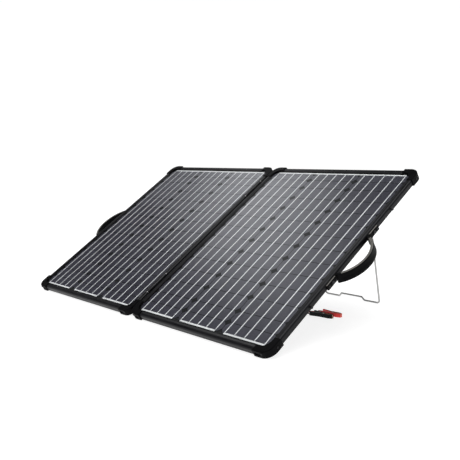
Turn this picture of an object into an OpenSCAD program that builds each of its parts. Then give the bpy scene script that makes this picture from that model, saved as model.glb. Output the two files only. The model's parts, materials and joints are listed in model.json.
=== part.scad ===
// Folding solar suitcase kit: two framed panels on a fold line, wire legs, carrying handles,
// a charge controller on the back and a battery lead with clips. Shown opened and tilted.
// Panel coordinates: u runs outward from the fold line, v from the front edge to the rear edge,
// w from the underside of the corner protectors towards the glass.

/* [Panels] */
// Tilt of the opened panels above the ground, in degrees
tilt = 33.7; // [30:0.1:37]
// Length of a panel frame from front to rear
frame_length = 653; // [640:1:670]
// Width of a panel frame
frame_width = 501.5; // [498:0.5:510]
// Gap between the two frames at the fold line
fold_gap = 6; // [6:0.5:8]
// Width of the ribbons that run along the cells
ribbon_width = 2.6; // [1.5:0.1:4]
// Width of the cross bars at the ends of the ribbons
end_bar_width = 4.6; // [3:0.1:6]

/* [Corner protectors] */
// Length of each arm of a corner protector
protector_arm = 47; // [45:1:60]
// Outer corner radius of a protector
protector_radius = 27; // [22:1:30]

/* [Handles] */
// Overall length of a handle along the frame
handle_length = 219; // [205:1:230]
// How far the handle's arch stands out from the frame
handle_reach = 46; // [38:1:50]
// Depth of the handle band, measured across the panel's thickness
handle_depth = 24; // [18:1:26]

/* [Legs] */
// Width of a wire leg between wire centres
leg_width = 193; // [180:1:200]
// Diameter of the leg wire
leg_wire = 5; // [4:0.5:5]
// Height of the raised middle of the foot
foot_step = 9; // [6:1:12]

/* [Controller] */
// Width of the controller's cover
cover_width = 126; // [120:1:130]
// Height of the cover's front face
cover_height = 98; // [96:1:104]
// Depth of the cover
cover_depth = 21; // [18:1:24]

/* [Battery lead] */
// Diameter of the two-core battery lead
lead_diameter = 6; // [5:0.5:7]
// Diameter of the single leads to the clips
clip_lead_diameter = 4; // [3.5:0.5:4.5]
// Length of a battery clip
clip_length = 62; // [58:1:66]

/* [Hidden] */
$fn = 48;

black_plastic = [0.07, 0.07, 0.08];
black_paint = [0.10, 0.10, 0.11];
steel = [0.70, 0.71, 0.72];
alloy = [0.55, 0.56, 0.58];
dark_alloy = [0.22, 0.22, 0.24];
cell_blue = [0.20, 0.21, 0.28];
sheet_dark = [0.13, 0.13, 0.15];
ribbon_silver = [0.86, 0.87, 0.88];
clear_glass = [0.85, 0.90, 0.92, 0.3];
cable_black = [0.05, 0.05, 0.05];
clip_red = [0.78, 0.10, 0.08];
button_blue = [0.12, 0.42, 0.80];
lcd_green = [0.74, 0.80, 0.74];

// levels across a panel's thickness
frame_low = 2;
frame_depth = 15;
protector_depth = 18.5;
sheet_low = 11.6;
cell_low = 12.2;
ribbon_low = 12.5;
glass_low = 12.7;
glass_top = 15;
protector_wall = 2.5;
protector_edge = 1;
frame_radius = protector_radius - protector_wall;

// places in the plane of a panel
frame_u = fold_gap / 2;
frame_v = protector_wall;
frame_u_out = frame_u + frame_width;
frame_v_out = frame_v + frame_length;
mid_u = frame_u + frame_width / 2;
mid_v = frame_v + frame_length / 2;
shoulder = 5;
lip_reach = 14;
slot_reach = 6;
flange_reach = 22;

// cells and ribbons
columns = 3;
column_pitch = 158.1;
cell_width = 156.2;
cell_corner = 9;
row_gap = 1.8;
middle_rows = 10;
middle_pitch = 47.3;
second_row = 36.5;
first_row = 32.6;
ribbons_per_column = 5;
ribbon_pitch = 31.35;
row_pitches = concat(
    [first_row, second_row],
    [for (i = [1:middle_rows]) middle_pitch],
    [second_row, first_row]
);
rows = len(row_pitches);
field_length = 2 * (first_row + second_row) + middle_rows * middle_pitch;
field_v = mid_v - field_length / 2 + 1.2;

// handles
handle_v = mid_v - 3;
handle_pad = 36;
handle_top = 13;
pad_thickness = 5;

// fold hinge
hinge_axis_w = 19;
knuckle_r = 2.6;
hinge_pin_r = 1.1;
hinge_bore_r = 1.15;
knuckle_length = 14;
knuckle_gap = 0.5;
knuckles = 5;
leaf_thickness = 1.3;
leaf_length = knuckles * knuckle_length + (knuckles - 1) * knuckle_gap;
hinge_places = [mid_v - 215, mid_v + 215];

// legs
leg_hinge_v = 628;
leg_hinge_w = -5;
leg_foot_back = 71.7;
leg_bend = 9;
leg_stub = 11;
wire_r = leg_wire / 2;
leg_hinge_z = leg_hinge_v * sin(tilt) + leg_hinge_w * cos(tilt);
leg_drop = leg_hinge_z - wire_r;
leg_length = round(10 * sqrt(leg_foot_back * leg_foot_back + leg_drop * leg_drop)) / 10;
leg_lean = acos(leg_drop / leg_length);
stow_clip_v = 400;

// latch hooks
latch_w = 8;
latch_reach = 2 * (hinge_axis_w - latch_w);
latch_places = [mid_v - 175, mid_v + 175];
latch_plate = 2.4;
latch_standoff = 1;

// controller
controller_v = 145;
base_width = 140;
base_height = 99;
base_thickness = 4;
button_places = [[42, 29], [42, 11.5]];
button_r = 7;
lcd_size = [52, 27];
lcd_corner = [-27, 6.5];
lcd_recess = 2;
lamp_start = [-26.5, -4];
lamp_pitch = 13.8;
flange_screw_places = [[-66.5, -32], [-66.5, 32], [66.5, -32], [66.5, 32]];
flange_floor = 3;
button_travel = 1.2;
button_well = 6;
cover_top = base_thickness + cover_depth;

// the whole object sits over its own middle in Y
front_y = -(protector_depth - protector_edge) * sin(tilt);
leg_hinge_y = leg_hinge_v * cos(tilt) - leg_hinge_w * sin(tilt);
back_y = leg_hinge_y + leg_length * sin(leg_lean) + wire_r;
shift_y = -(front_y + back_y) / 2;

function panel_point(u, v, w) = [
    u,
    v * cos(tilt) - w * sin(tilt),
    v * sin(tilt) + w * cos(tilt)
];

module on_panel() {
    translate([0, shift_y, 0])
        rotate([tilt, 0, 0])
            children();
}

module on_left_panel() {
    on_panel()
        mirror([1, 0, 0])
            children();
}

module on_ground() {
    translate([0, shift_y, 0])
        children();
}

module rounded_rect(width, height, radius) {
    translate([radius, 0])
        square([width - 2 * radius, height]);
    translate([0, radius])
        square([width, height - 2 * radius]);
    for (x = [radius, width - radius], y = [radius, height - radius])
        translate([x, y])
            circle(r = radius);
}

// ---------- panel ----------

// hollow rail with a rounded shoulder, a lip over the laminate's edge and a mounting flange
module rail_section() {
    wall = 3;
    lip_low = sheet_low - frame_low - 1.4;
    lip_slope = 1.3;
    flange = 1.6;
    cavity = [4, 6];
    difference() {
        union() {
            translate([shoulder, frame_depth - shoulder])
                circle(r = shoulder);
            translate([shoulder, 0])
                square([wall, frame_depth]);
            square([shoulder + 0.5, frame_depth - shoulder]);
            polygon([
                [shoulder + wall, lip_low], [shoulder + wall, frame_depth],
                [lip_reach, frame_depth - lip_slope], [lip_reach, lip_low]
            ]);
            square([flange_reach, flange]);
        }
        translate([slot_reach, sheet_low - frame_low])
            square([lip_reach, glass_top - sheet_low]);
        translate([2, 2])
            square(cavity);
    }
}

module rail(length) {
    mitre = 30;
    joint = 0.05;
    intersection() {
        rotate([90, 0, 90])
            linear_extrude(length)
                rail_section();
        linear_extrude(frame_depth)
            polygon([
                [joint, 0], [length - joint, 0],
                [length - mitre - joint, mitre], [mitre + joint, mitre]
            ]);
    }
}

module panel_frame() {
    translate([frame_u, frame_v, frame_low])
        intersection() {
            union() {
                rail(frame_width);
                translate([frame_width, 0, 0])
                    rotate([0, 0, 90])
                        rail(frame_length);
                translate([frame_width, frame_length, 0])
                    rotate([0, 0, 180])
                        rail(frame_width);
                translate([0, frame_length, 0])
                    rotate([0, 0, 270])
                        rail(frame_length);
            }
            linear_extrude(frame_depth)
                rounded_rect(frame_width, frame_length, frame_radius);
        }
}

module laminate(low, thickness, inset) {
    translate([frame_u + inset, frame_v + inset, low])
        linear_extrude(thickness)
            rounded_rect(frame_width - 2 * inset, frame_length - 2 * inset, frame_radius - inset);
}

module panel_glass() {
    laminate(glass_low, glass_top - glass_low, slot_reach + 1);
}

module panel_backsheet() {
    laminate(sheet_low, cell_low - sheet_low, slot_reach + 1);
}

function row_start(i) = i == 0 ? 0 : row_start(i - 1) + row_pitches[i - 1];

module cell(width, height, corner) {
    polygon([
        [corner, 0], [width - corner, 0], [width, corner], [width, height - corner],
        [width - corner, height], [corner, height], [0, height - corner], [0, corner]
    ]);
}

module panel_cells() {
    for (c = [0:columns - 1], i = [0:rows - 1])
        translate([
            mid_u + (c - 1) * column_pitch - cell_width / 2,
            field_v + row_start(i) + row_gap / 2,
            cell_low
        ])
            linear_extrude(ribbon_low - cell_low)
                cell(cell_width, row_pitches[i] - row_gap, cell_corner);
}

module panel_ribbons() {
    half = (ribbons_per_column - 1) / 2;
    span = (ribbons_per_column - 1) * ribbon_pitch + ribbon_width;
    translate([0, 0, ribbon_low])
        linear_extrude(glass_low - ribbon_low) {
            for (c = [-1:1]) {
                for (k = [-half:half])
                    translate([mid_u + c * column_pitch + k * ribbon_pitch - ribbon_width / 2, field_v])
                        square([ribbon_width, field_length]);
                translate([mid_u + c * column_pitch - span / 2, field_v - end_bar_width / 2])
                    square([span, end_bar_width]);
            }
            translate([mid_u - column_pitch - span / 2, field_v + field_length - end_bar_width / 2])
                square([2 * column_pitch + span, end_bar_width]);
        }
}

// ---------- corner protectors ----------

module protector_outline(inset) {
    arm_width = 17 - inset;
    inner_curve = 22 + inset;
    beyond = 200;
    intersection() {
        translate([inset, inset])
            rounded_rect(beyond, beyond, protector_radius - inset);
        difference() {
            square([protector_arm - inset, protector_arm - inset]);
            translate([arm_width, arm_width])
                rounded_rect(beyond, beyond, inner_curve);
        }
    }
}

// the arm along u shows the frame through a window
module protector() {
    window_length = 16;
    window_height = 8;
    beyond = 200;
    difference() {
        union() {
            linear_extrude(protector_depth - protector_edge)
                protector_outline(0);
            linear_extrude(protector_depth)
                protector_outline(protector_edge);
        }
        translate([protector_wall, protector_wall, frame_low])
            linear_extrude(frame_depth)
                rounded_rect(beyond, beyond, frame_radius);
        translate([protector_radius - 1, -1, frame_low + 3])
            cube([window_length, protector_wall + 1, window_height]);
    }
}

// places a child at the four corners, with arms pointing inward
module at_corners() {
    inner_u = frame_u - protector_wall;
    outer_u = frame_u_out + protector_wall;
    high_v = frame_v_out + protector_wall;
    translate([inner_u, 0, 0])
        children();
    translate([outer_u, 0, 0])
        mirror([1, 0, 0])
            children();
    translate([inner_u, high_v, 0])
        mirror([0, 1, 0])
            children();
    translate([outer_u, high_v, 0])
        mirror([1, 0, 0])
            mirror([0, 1, 0])
                children();
}

module cross_head(radius, height, shank_r, shank_length) {
    slot = [radius * 1.2, radius * 0.3];
    difference() {
        cylinder(r = radius, h = height);
        for (a = [0, 90])
            rotate([0, 0, a])
                translate([-slot[0] / 2, -slot[1] / 2, height - 0.8])
                    cube([slot[0], slot[1], 1]);
    }
    translate([0, 0, -shank_length])
        cylinder(r = shank_r, h = shank_length + 0.1);
}

// a screw in each outer side arm, and one in each front and rear arm
module protector_screws() {
    side_place = 30;
    end_place = 18;
    end_sink = 0.8;
    side_w = 9.5;
    end_w = 12.5;
    head_r = 2;
    head_height = 1;
    shank_r = 1.1;
    shank_length = 4;
    high_v = frame_v_out + protector_wall;
    for (v = [side_place, high_v - side_place])
        translate([frame_u_out + protector_wall, v, side_w])
            rotate([0, 90, 0])
                cross_head(head_r, head_height, shank_r, shank_length);
    for (u = [frame_u + end_place, frame_u_out - end_place]) {
        translate([u, end_sink, end_w])
            rotate([90, 0, 0])
                cross_head(head_r, head_height, shank_r, shank_length);
        translate([u, high_v - end_sink, end_w])
            rotate([-90, 0, 0])
                cross_head(head_r, head_height, shank_r, shank_length);
    }
}

// ---------- handles ----------

module handle_outline(inset) {
    band = 8;
    half_span = handle_length / 2 - handle_pad;
    outer = (half_span * half_span + handle_reach * handle_reach) / (2 * handle_reach);
    inner = outer - band;
    intersection() {
        translate([handle_reach - outer, 0])
            difference() {
                circle(r = outer - inset, $fn = 160);
                circle(r = inner + inset, $fn = 160);
            }
        translate([0, -handle_length / 2])
            square([handle_reach, handle_length]);
    }
    for (s = [-1, 1])
        translate([0, s * (handle_length - handle_pad) / 2 - handle_pad / 2 + inset])
            square([pad_thickness - inset, handle_pad - 2 * inset]);
}

// the band hangs lower than the pads, and two grooves run along its outside
module handle_body() {
    edge = 1;
    low = handle_top - handle_depth;
    pad_low = 1;
    groove = 1;
    groove_depth = 0.8;
    groove_start = 12;
    trim = [pad_thickness + 5, 2 * handle_pad + 4];
    difference() {
        translate([0, 0, low]) {
            linear_extrude(handle_depth)
                handle_outline(edge);
            translate([0, 0, edge])
                linear_extrude(handle_depth - 2 * edge)
                    handle_outline(0);
        }
        for (s = [-1, 1])
            translate([-1, (s * handle_length - trim[1]) / 2, low - 1])
                cube([trim[0], trim[1], pad_low - low + 1]);
        for (h = [low + handle_depth / 3, low + handle_depth / 2])
            translate([0, 0, h])
                linear_extrude(groove)
                    difference() {
                        translate([groove_start, -handle_length / 2])
                            square([handle_reach, handle_length]);
                        handle_outline(groove_depth);
                    }
    }
}

module handle() {
    translate([frame_u_out, handle_v, 0])
        handle_body();
}

// a cross-head screw and a plug in each pad
module handle_screws() {
    screw_w = 7;
    screw_place = 90;
    plug_place = 103;
    head_r = 4.2;
    head_height = 2;
    shank_r = 2.2;
    shank_length = 8;
    for (s = [-1, 1]) {
        translate([frame_u_out + pad_thickness, handle_v + s * screw_place, screw_w])
            rotate([0, 90, 0])
                cross_head(head_r, head_height, shank_r, shank_length);
        translate([frame_u_out + pad_thickness, handle_v + s * plug_place, screw_w])
            rotate([0, 90, 0])
                cylinder(r = 1.8, h = 0.8);
    }
}

// ---------- fold hinge ----------

// one leaf with every second knuckle, and three rivets through it
module leaf_strip(first) {
    step = knuckle_length + knuckle_gap;
    plate_low = 5;
    plate_high = 16.1;
    root = 0.1;
    rivet_inset = 8;
    difference() {
        union() {
            translate([frame_u - leaf_thickness, 0, plate_low])
                cube([leaf_thickness, leaf_length, plate_high - plate_low]);
            for (i = [first:2:knuckles - 1])
                translate([0, i * step, 0]) {
                    translate([0, 0, hinge_axis_w])
                        rotate([-90, 0, 0])
                            cylinder(r = knuckle_r, h = knuckle_length);
                    translate([frame_u - leaf_thickness, 0, plate_high - root])
                        cube([leaf_thickness - 0.4, knuckle_length, hinge_axis_w - plate_high + root]);
                }
        }
        translate([0, -1, hinge_axis_w])
            rotate([-90, 0, 0])
                cylinder(r = hinge_bore_r, h = leaf_length + 2);
    }
    for (y = [rivet_inset, leaf_length / 2, leaf_length - rivet_inset])
        translate([frame_u - leaf_thickness, y, 10])
            rotate([0, -90, 0])
                cylinder(r = 2, h = 0.7);
}

module hinge_leaves(first) {
    for (v = hinge_places)
        translate([0, v - leaf_length / 2, 0])
            leaf_strip(first);
}

module hinge_pins() {
    for (v = hinge_places)
        translate([0, v - leaf_length / 2 - 1, hinge_axis_w])
            rotate([-90, 0, 0]) {
                cylinder(r = hinge_pin_r, h = leaf_length + 2);
                translate([0, 0, -0.8])
                    cylinder(r = 2, h = 0.9);
                translate([0, 0, leaf_length + 1.9])
                    cylinder(r = 2, h = 0.9);
            }
}

// ---------- wire legs ----------

function unit(p) = p / norm(p);
function turn_of(a, b, c) =
    let (p = unit(b - a), q = unit(c - b))
    atan2(p[0] * q[1] - p[1] * q[0], p[0] * q[0] + p[1] * q[1]);
function setback(pts, bends, i) =
    i == 0 || i == len(pts) - 1 ? 0 : bends[i] * tan(abs(turn_of(pts[i - 1], pts[i], pts[i + 1])) / 2);

module wire_between(a, b, radius) {
    d = b - a;
    translate([a[0], a[1], 0])
        rotate([0, 0, atan2(d[1], d[0])])
            rotate([0, 90, 0])
                cylinder(r = radius, h = norm(d));
}

// a wire bent in one plane through the given corner points; a bend of 0 is a tight kink
module bent_wire(pts, bends, radius) {
    last = len(pts) - 1;
    for (i = [0:last - 1]) {
        way = unit(pts[i + 1] - pts[i]);
        wire_between(
            pts[i] + way * setback(pts, bends, i),
            pts[i + 1] - way * setback(pts, bends, i + 1),
            radius
        );
    }
    kink_r = radius + 0.06;
    for (i = [1:last - 1])
        if (bends[i] == 0)
            translate([pts[i][0], pts[i][1], 0])
                sphere(r = kink_r);
        else {
            turn = turn_of(pts[i - 1], pts[i], pts[i + 1]);
            way = unit(pts[i] - pts[i - 1]);
            side = turn > 0 ? 1 : -1;
            centre = pts[i] - way * setback(pts, bends, i) + side * bends[i] * [-way[1], way[0]];
            start = atan2(way[1], way[0]) - side * 90;
            translate([centre[0], centre[1], 0])
                rotate([0, 0, side > 0 ? start : start + turn])
                    rotate_extrude(angle = abs(turn))
                        translate([bends[i], 0])
                            circle(r = radius);
        }
}

// the leg lies in the XY plane, hinged along X through the origin, foot towards -Y
module leg_shape() {
    half = leg_width / 2;
    foot = -leg_length;
    raised = foot + foot_step;
    step_out = 45;
    step_in = 36;
    stub_bend = 5;
    points = [
        [-half + leg_stub, 0], [-half, 0], [-half, foot], [-step_out, foot], [-step_in, raised],
        [step_in, raised], [step_out, foot], [half, foot], [half, 0], [half - leg_stub, 0]
    ];
    bend_radii = [0, stub_bend, leg_bend, 0, 0, 0, 0, leg_bend, stub_bend, 0];
    bent_wire(points, bend_radii, wire_r);
}

module leg() {
    translate([mid_u, leg_hinge_v, leg_hinge_w])
        rotate([90 + leg_lean - tilt, 0, 0])
            leg_shape();
}

// ears on the rear rail that carry the leg's inward ends
module leg_brackets() {
    ear = 3;
    ear_r = 5.5;
    stem = 24;
    foot = 18;
    bore = wire_r + 0.06;
    for (s = [-1, 1])
        translate([mid_u + s * (leg_width / 2 - leg_stub + 3.5), leg_hinge_v, leg_hinge_w])
            difference() {
                union() {
                    translate([-ear / 2, 0, 0]) {
                        rotate([0, 90, 0])
                            cylinder(r = ear_r, h = ear);
                        cube([ear, stem, frame_low - leg_hinge_w]);
                    }
                    translate([-ear / 2 - foot * (s + 1) / 2, stem - foot, -leg_hinge_w])
                        cube([ear + foot, foot, frame_low]);
                }
                translate([-ear, 0, 0])
                    rotate([0, 90, 0])
                        cylinder(r = bore, h = 2 * ear);
            }
}

module leg_clip() {
    clip_width = 12;
    clip_length_v = 16;
    low = leg_hinge_w - 3.5;
    slot = leg_wire + 0.6;
    translate([mid_u - leg_width / 2, stow_clip_v, 0])
        difference() {
            translate([-clip_width / 2, -clip_length_v / 2, low])
                cube([clip_width, clip_length_v, sheet_low - low]);
            translate([-slot / 2, -clip_length_v, low - 1])
                cube([slot, 2 * clip_length_v, 1 + leg_hinge_w - low]);
            translate([0, clip_length_v, leg_hinge_w])
                rotate([90, 0, 0])
                    cylinder(r = slot / 2, h = 2 * clip_length_v);
        }
}

// ---------- latch ----------

module latch_pivots() {
    for (v = latch_places)
        translate([frame_u_out, v, latch_w])
            rotate([0, 90, 0]) {
                cylinder(r = 3.4, h = latch_standoff);
                cylinder(r = 2, h = latch_standoff + latch_plate + 0.6);
                translate([0, 0, latch_standoff + latch_plate + 0.5])
                    cylinder(r = 3.6, h = 1.2);
            }
}

module latch_studs() {
    for (v = latch_places)
        translate([frame_u_out, v, latch_w])
            rotate([0, 90, 0]) {
                cylinder(r = 2, h = latch_standoff + latch_plate + 0.8);
                translate([0, 0, latch_standoff + latch_plate + 0.6])
                    cylinder(r = 3.4, h = 1.2);
            }
}

// the hook points along +v at rest; its mouth opens on the side it swings from
module latch_hook(v) {
    arm = 5.5;
    translate([frame_u_out + latch_standoff + 0.2, v, latch_w])
        rotate([0, 90, 0])
            difference() {
                union() {
                    cylinder(r = 5, h = latch_plate);
                    translate([-arm / 2 - 1, 0, 0])
                        cube([arm + 2, latch_reach, latch_plate]);
                    translate([0, latch_reach, 0])
                        cylinder(r = 5, h = latch_plate);
                    translate([-2, latch_reach + 3, 0])
                        cube([4, 8, latch_plate]);
                }
                translate([0, 0, -1])
                    cylinder(r = 2.06, h = latch_plate + 2);
                translate([0, latch_reach, -1])
                    cylinder(r = 2.4, h = latch_plate + 2);
                translate([-10, latch_reach - 2.4, -1])
                    cube([10, 4.8, latch_plate + 2]);
            }
}

// ---------- junction boxes and controller ----------

module junction_box() {
    size = [84, 62, 13];
    start_v = 545;
    lid_screw = 8;
    translate([mid_u - size[0] / 2, start_v, sheet_low - size[2]])
        difference() {
            union() {
                translate([0, 0, 1.5])
                    linear_extrude(size[2] - 1.5)
                        rounded_rect(size[0], size[1], 5);
                translate([1, 1, 0])
                    linear_extrude(2)
                        rounded_rect(size[0] - 2, size[1] - 2, 4);
            }
            for (x = [lid_screw, size[0] - lid_screw], y = [lid_screw, size[1] - lid_screw])
                translate([x, y, -1])
                    cylinder(r = 2.4, h = 2);
        }
}

module on_controller() {
    on_panel()
        translate([mid_u, controller_v, sheet_low])
            rotate([0, 180, 0])
                children();
}

module ctrl_base() {
    on_controller()
        difference() {
            translate([-base_width / 2, -base_height / 2, 0])
                linear_extrude(base_thickness)
                    rounded_rect(base_width, base_height, 4);
            for (y = [-40:8:40])
                for (s = [-1, 1])
                    translate([s * (base_width / 2 + 1) - 4, y - 1.5, base_thickness - 1.5])
                        cube([8, 3, 3]);
        }
}

module ctrl_cover() {
    edge = 1.5;
    opening = [cover_width - 16, 14.5, 13.5];
    on_controller()
        difference() {
            translate([-cover_width / 2, -cover_height / 2, base_thickness]) {
                linear_extrude(cover_depth - edge)
                    rounded_rect(cover_width, cover_height, 5);
                translate([edge, edge, 0])
                    linear_extrude(cover_depth)
                        rounded_rect(cover_width - 2 * edge, cover_height - 2 * edge, 4);
            }
            translate([lcd_corner[0], lcd_corner[1], cover_top - lcd_recess])
                cube([lcd_size[0], lcd_size[1], lcd_recess + 1]);
            for (p = button_places)
                translate([p[0], p[1], cover_top - button_well])
                    cylinder(r = button_r + 0.3, h = button_well + 1);
            translate([-opening[0] / 2, -cover_height / 2 - 1, base_thickness - 1])
                cube(opening);
        }
}

// ribbed side strips, with clear places for the screws
module ctrl_flanges() {
    width = (base_width - cover_width) / 2 - 1;
    rib = [width, 3.5, 12];
    first_rib = -cover_height / 2 + 3;
    on_controller()
        for (s = [-1, 1])
            translate([s * (cover_width / 2 + 0.5 + width / 2), 0, base_thickness]) {
                for (y = [first_rib:7:-first_rib - 2])
                    if (abs(abs(y + rib[1] / 2) - flange_screw_places[1][1]) > 5)
                        translate([-width / 2, y, 0])
                            cube(rib);
                translate([-width / 2, first_rib - 1, 0])
                    cube([width, cover_height - 6, flange_floor]);
            }
}

module ctrl_lcd() {
    on_controller()
        translate([lcd_corner[0], lcd_corner[1], cover_top - lcd_recess])
            cube([lcd_size[0], lcd_size[1], lcd_recess - 0.6]);
}

module ctrl_button(place) {
    clearance = 0.3;
    rim_height = 5.5;
    face_height = 6.3;
    on_controller()
        translate([place[0], place[1], cover_top - button_well + button_travel + clearance]) {
            cylinder(r = button_r, h = rim_height);
            cylinder(r = button_r - 1, h = face_height);
        }
}

module ctrl_leds() {
    lamp_r = 1.2;
    on_controller()
        for (i = [0:5])
            translate([lamp_start[0] + lamp_pitch * i, lamp_start[1], cover_top - 0.01])
                cylinder(r = lamp_r, h = 0.5);
}

module ctrl_terminals() {
    ways = 8;
    pitch = 13;
    entry = [7, 8, 6];
    block = [ways * pitch, 13, 12];
    on_controller()
        translate([-block[0] / 2, -cover_height / 2 + 0.5, base_thickness])
            difference() {
                cube(block);
                for (i = [0:ways - 1])
                    translate([(i + 0.5) * pitch - entry[0] / 2, -1, 3])
                        cube(entry);
            }
}

module ctrl_screws() {
    on_controller()
        for (p = flange_screw_places)
            translate([p[0], p[1], base_thickness + flange_floor])
                cross_head(2.6, 1, 1.2, flange_floor + base_thickness - 1);
}

// ---------- leads ----------

// a round tube through route points, one ring at each point and rings between them
function catmull(a, b, c, d, t) =
    0.5 * ((2 * b) + (c - a) * t + (2 * a - 5 * b + 4 * c - d) * t * t
    + (3 * b - a - 3 * c + d) * t * t * t);
function route(points, steps) = [
    for (i = [0:len(points) - 2], k = [0:steps - 1])
        let (
            a = i == 0 ? 2 * points[0] - points[1] : points[i - 1],
            d = i == len(points) - 2 ? 2 * points[i + 1] - points[i] : points[i + 2]
        )
        catmull(a, points[i], points[i + 1], d, k / steps),
    points[len(points) - 1]
];

// across is a direction the route never runs along, which keeps the rings from twisting
module tube(points, steps, radius, sides, across = [0.12, 0.31, 0.94]) {
    path = route(points, steps);
    count = len(path);
    heading = [
        for (i = [0:count - 1])
            unit(path[min(i + 1, count - 1)] - path[max(i - 1, 0)])
    ];
    rings = [
        for (i = [0:count - 1])
            let (side = unit(cross(heading[i], across)), up = cross(side, heading[i]))
            for (k = [0:sides - 1])
                path[i] + radius * (cos(360 * k / sides) * side + sin(360 * k / sides) * up)
    ];
    walls = [
        for (i = [0:count - 2], k = [0:sides - 1])
            let (n = (k + 1) % sides)
            [i * sides + k, i * sides + n, (i + 1) * sides + n, (i + 1) * sides + k]
    ];
    first_cap = [for (k = [sides - 1:-1:0]) k];
    last_cap = [for (k = [0:sides - 1]) (count - 1) * sides + k];
    polyhedron(points = rings, faces = concat([first_cap], [last_cap], walls), convexity = 10);
}

coil_centre = [205, 285];
coil_radius = 36;
coil_half_width = 10;
coil_height = 26;
boot_start = [253, 331, 5.5];
boot_length = 24;
boot_turn = 40;
boot_way = [cos(boot_turn), sin(boot_turn), 0];
boot_side = [-sin(boot_turn), cos(boot_turn), 0];
lead_r = lead_diameter / 2;
clip_lead_r = clip_lead_diameter / 2;
lead_split = 2.2;
panel_lead_r = 2.5;

// left and right ends of the lead that crosses the fold, and the loop of slack between them
crossing_v = 470;
crossing_w = -1.5;
crossing_u = 22;

// battery clips lie on their sides, hinged about upright pins
clip_height = 14;
clip_scale = clip_length / 84;
black_clip_place = [339, 366.8];
black_clip_turn = 4;
red_clip_place = [346.5, 392.8];
red_clip_turn = 3;

module panel_lead(points, steps, across = [0.12, 0.31, 0.94]) {
    tube(points, steps, panel_lead_r, 8, across);
}

module panel_lead_right() {
    gland_v = controller_v + base_height / 2 + 10;
    gland_w = sheet_low - base_thickness - 8;
    on_panel() {
        panel_lead([
            [mid_u, 546, 6], [mid_u, 500, 7], [mid_u, 400, 7], [mid_u, 300, 7],
            [mid_u, 245, 6], [mid_u, 222, 2], [mid_u, gland_v, gland_w]
        ], 2);
        panel_lead([
            [crossing_u, crossing_v, crossing_w], [40, 462, 1], [70, 440, 6], [130, 380, 7],
            [185, 300, 7], [214, 250, 6], [mid_u - 35, 224, 2], [mid_u - 35, gland_v, gland_w]
        ], 2);
    }
}

module panel_lead_left() {
    on_left_panel()
        panel_lead([
            [crossing_u + 4.3, crossing_v, crossing_w], [43, 476, 1], [72, 500, 6],
            [130, 545, 6], [175, 562, 6], [mid_u - 41, 565, 6]
        ], 2);
}

module jumper_lead() {
    slack = 36;
    on_panel()
        panel_lead([
            [crossing_u, crossing_v, crossing_w],
            [crossing_u + 1, crossing_v - 8, crossing_w - 10],
            [18, crossing_v - 14, crossing_w - 24],
            [8, crossing_v - 17, crossing_w - slack],
            [-8, crossing_v - 17, crossing_w - slack],
            [-18, crossing_v - 14, crossing_w - 24],
            [-crossing_u - 1, crossing_v - 8, crossing_w - 10],
            [-crossing_u, crossing_v, crossing_w]
        ], 2, [0, 1, 0]);
}

module lead_glands() {
    on_controller()
        for (x = [-35, 0, 35])
            translate([x, base_height / 2 - 1, base_thickness + 8])
                rotate([-90, 0, 0]) {
                    cylinder(r = 6, h = 5);
                    cylinder(r = 4.6, h = 12);
                }
}

module battery_lead() {
    gland = panel_point(mid_u + 35, controller_v + base_height / 2 + 10, sheet_low - base_thickness - 8);
    on_ground() {
        tube([
            gland, [mid_u + 35, 190, 122.5], [288, 210, 122], [286, 225, 106], [281, 234, 84],
            [272, 242, 60], [260, 252, 38], [250, 268, 25.5], [247.5, 282, 22.6]
        ], 2, lead_r, 10, [1, 0.1, 0.05]);
        tube([
            [247.5, 286, 3.4], [247.5, 303, 3.4], [249.5, 318, 3.9], boot_start + 2 * boot_way
        ], 2, lead_r, 10);
    }
}

module lead_coil() {
    round = 8;
    on_ground()
        translate([coil_centre[0], coil_centre[1], 0])
            rotate_extrude($fn = 72)
                translate([coil_radius - coil_half_width, 0])
                    rounded_rect(2 * coil_half_width, coil_height, round);
}

module y_boot() {
    on_ground()
        translate(boot_start)
            rotate([0, 90, boot_turn]) {
                cylinder(r = 4.2, h = boot_length);
                translate([0, 0, 3])
                    cylinder(r = 5.4, h = boot_length - 4);
            }
}

module black_clip_lead() {
    start = boot_start + (boot_length - 1) * boot_way - lead_split * boot_side;
    on_ground()
        tube([start, [281, 348.5, 4.6], [293.5, 350.6, 4.6], [306.4, 354.1, 5.2]], 2, clip_lead_r, 8);
}

module red_clip_lead() {
    start = boot_start + (boot_length - 1) * boot_way + lead_split * boot_side;
    on_ground()
        tube([
            start, [277.5, 357, 4.6], [286, 368, 4.6], [295.5, 377.5, 4.6],
            [303.5, 380.8, 5], [313.9, 381, 5.2]
        ], 2, clip_lead_r, 8);
}

// ---------- battery clips ----------

module at_clip(place, turn) {
    on_ground()
        translate([place[0], place[1], 0])
            rotate([0, 0, turn])
                scale(clip_scale)
                    children();
}

module clip_arm_outline() {
    polygon([
        [-46, 15], [-10, 7.4], [9, 7.4], [23, 7.8], [38, 2.4], [38, 0.2],
        [36.5, 1.5], [35, 0.2], [33.5, 1.8], [32, 0.5], [30, 2.6], [28.5, 1.6],
        [27, 4], [22, 5.8], [9, 5.4], [-10, 5.4], [-46, 13]
    ]);
}

// one formed arm; its ears sit at the given height from each side
module clip_arm(ear_low) {
    edge = 1;
    ear = 1.4;
    difference() {
        union() {
            translate([0, 0, edge])
                linear_extrude(clip_height - 2 * edge)
                    clip_arm_outline();
            for (z = [ear_low, clip_height - ear_low - ear])
                translate([0, 0, z]) {
                    cylinder(r = 4.2, h = ear);
                    translate([-4.2, 0, 0])
                        cube([8.4, 5.6, ear]);
                }
        }
        translate([0, 0, -1])
            cylinder(r = 1.55, h = clip_height + 2);
    }
}

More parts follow.
